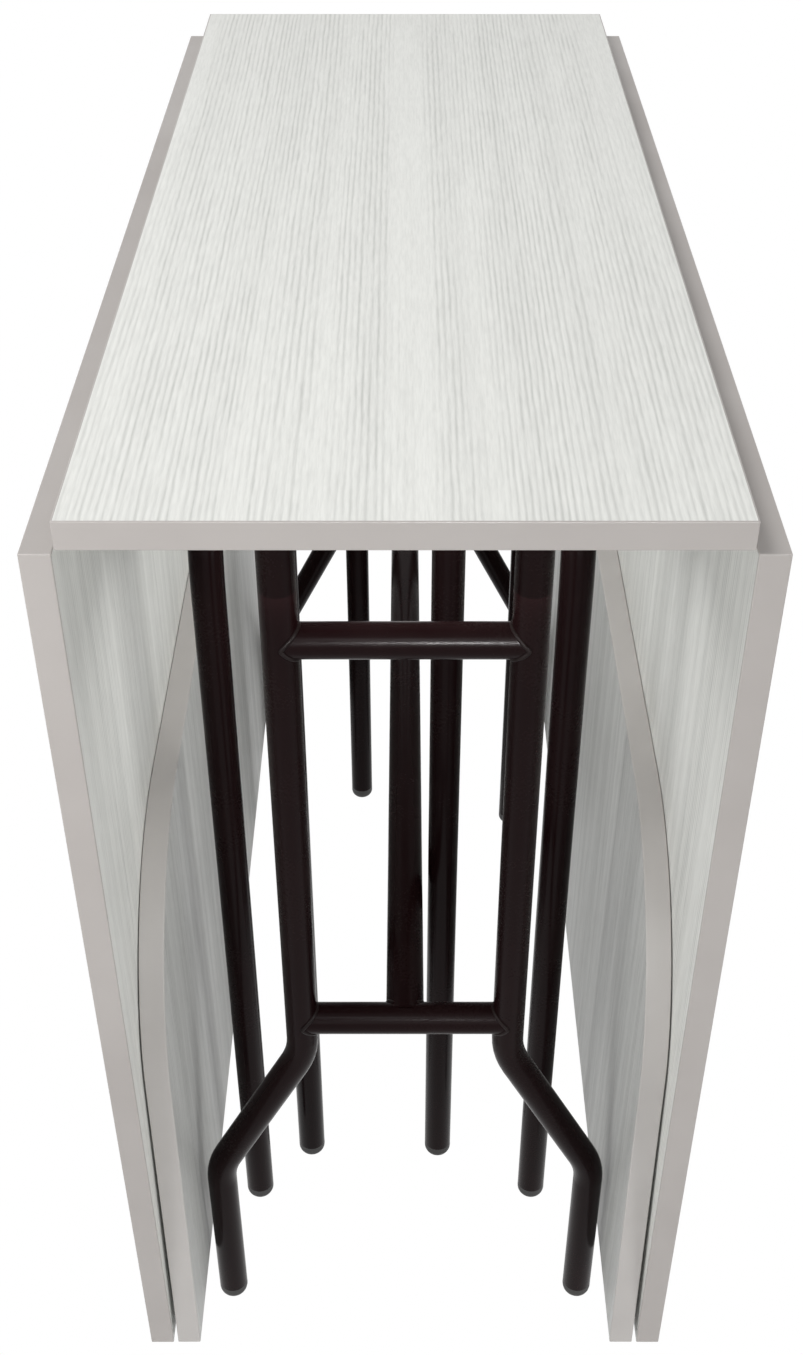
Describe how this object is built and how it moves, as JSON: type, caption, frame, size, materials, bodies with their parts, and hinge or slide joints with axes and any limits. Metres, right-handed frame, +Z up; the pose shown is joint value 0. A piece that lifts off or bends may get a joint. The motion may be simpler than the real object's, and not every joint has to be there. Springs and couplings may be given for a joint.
{
  "type": "extending console table",
  "caption": "Folded drop-leaf table: narrow top, hanging leaves with rounded end leaves tucked inside, and swinging gate legs in a dark round-tube base.",
  "frame": {"origin": "on the floor, under the middle of the fixed top", "axes": "+Z up, +Y along the fixed top's long side, +X across it towards the right leaf"},
  "size_m": [0.3652, 0.8, 0.75],
  "materials": {
    "laminate": "matt printed laminate",
    "edge_band": "satin plastic band",
    "tube": "semi-gloss powder coat",
    "zinc": "zinc plated",
    "foot": "moulded plastic",
    "pad": "soft moulded pad"
  },
  "bodies": {
    "base": {"back_left_leg_tube": "tube", "back_lower_cross_bar": "tube", "back_right_leg_tube": "tube", "back_top_bar": "tube", "back_upper_cross_bar": "tube", "frame_foot_caps": "foot", "front_left_leg_tube": "tube", "front_lower_cross_bar": "tube", "front_right_leg_tube": "tube", "front_top_bar": "tube", "front_upper_cross_bar": "tube", "gate_pivot_nuts": "zinc", "gate_pivot_plates": "tube", "gate_pivot_studs": "zinc", "gate_pivot_washers": "zinc", "left_leaf_hinge_fixed_plates": "zinc", "left_leaf_hinge_pins": "zinc", "right_leaf_hinge_fixed_plates": "zinc", "right_leaf_hinge_pins": "zinc", "spine_tube": "tube", "tabletop": "laminate", "tabletop_edge_band": "edge_band", "top_screws": "zinc"},
    "left_end_leaf": {"left_end_hinge_end_plates": "zinc", "left_end_leaf": "laminate", "left_end_leaf_edge_band": "edge_band", "left_end_leaf_screws": "zinc"},
    "left_leaf": {"left_end_hinge_leaf_plates": "zinc", "left_end_hinge_pins": "zinc", "left_leaf": "laminate", "left_leaf_edge_band": "edge_band", "left_leaf_hinge_moving_plates": "zinc", "left_leaf_screws": "zinc"},
    "left_inner_gate": {"left_inner_gate_foot_caps": "foot", "left_inner_gate_pivot_strap": "tube", "left_inner_gate_rest_pad": "pad", "left_inner_gate_tube": "tube"},
    "left_outer_gate": {"left_outer_gate_foot_caps": "foot", "left_outer_gate_pivot_strap": "tube", "left_outer_gate_rest_pad": "pad", "left_outer_gate_tube": "tube"},
    "right_end_leaf": {"right_end_hinge_end_plates": "zinc", "right_end_leaf": "laminate", "right_end_leaf_edge_band": "edge_band", "right_end_leaf_screws": "zinc"},
    "right_leaf": {"right_end_hinge_leaf_plates": "zinc", "right_end_hinge_pins": "zinc", "right_leaf": "laminate", "right_leaf_edge_band": "edge_band", "right_leaf_hinge_moving_plates": "zinc", "right_leaf_screws": "zinc"},
    "right_inner_gate": {"right_inner_gate_foot_caps": "foot", "right_inner_gate_pivot_strap": "tube", "right_inner_gate_rest_pad": "pad", "right_inner_gate_tube": "tube"},
    "right_outer_gate": {"right_outer_gate_foot_caps": "foot", "right_outer_gate_pivot_strap": "tube", "right_outer_gate_rest_pad": "pad", "right_outer_gate_tube": "tube"}
  },
  "joints": [
    {"name": "right_leaf_lift", "type": "hinge", "parent": "base", "child": "right_leaf", "pos_m": [0.165, 0, 0.7324], "axis": [0, -1, 0], "range_deg": [0, 90]},
    {"name": "right_end_leaf_fold", "type": "hinge", "parent": "right_leaf", "child": "right_end_leaf", "pos_m": [0.165, 0, 0.0527], "axis": [0, -1, 0], "range_deg": [0, 180]},
    {"name": "right_outer_gate_swing", "type": "hinge", "parent": "base", "child": "right_outer_gate", "pos_m": [0.1025, -0.234, 0.72], "axis": [0, 0, -1], "range_deg": [0, 90]},
    {"name": "right_inner_gate_swing", "type": "hinge", "parent": "base", "child": "right_inner_gate", "pos_m": [0.045, 0.253, 0.72], "axis": [0, 0, 1], "range_deg": [0, 90]},
    {"name": "left_leaf_lift", "type": "hinge", "parent": "base", "child": "left_leaf", "pos_m": [-0.165, 0, 0.7324], "axis": [0, 1, 0], "range_deg": [0, 90]},
    {"name": "left_end_leaf_fold", "type": "hinge", "parent": "left_leaf", "child": "left_end_leaf", "pos_m": [-0.165, 0, 0.0527], "axis": [0, 1, 0], "range_deg": [0, 180]},
    {"name": "left_outer_gate_swing", "type": "hinge", "parent": "base", "child": "left_outer_gate", "pos_m": [-0.118, -0.234, 0.72], "axis": [0, 0, 1], "range_deg": [0, 90]},
    {"name": "left_inner_gate_swing", "type": "hinge", "parent": "base", "child": "left_inner_gate", "pos_m": [-0.045, 0.253, 0.72], "axis": [0, 0, -1], "range_deg": [0, 90]}
  ],
  "couplings": [
    {"joint": "right_end_leaf_fold", "follows": "right_leaf_lift", "ratio": 1},
    {"joint": "right_outer_gate_swing", "follows": "right_leaf_lift", "ratio": 0.035},
    {"joint": "right_inner_gate_swing", "follows": "right_leaf_lift", "ratio": 0.03},
    {"joint": "left_end_leaf_fold", "follows": "left_leaf_lift", "ratio": 1},
    {"joint": "left_outer_gate_swing", "follows": "left_leaf_lift", "ratio": 0.035},
    {"joint": "left_inner_gate_swing", "follows": "left_leaf_lift", "ratio": 0.03}
  ]
}
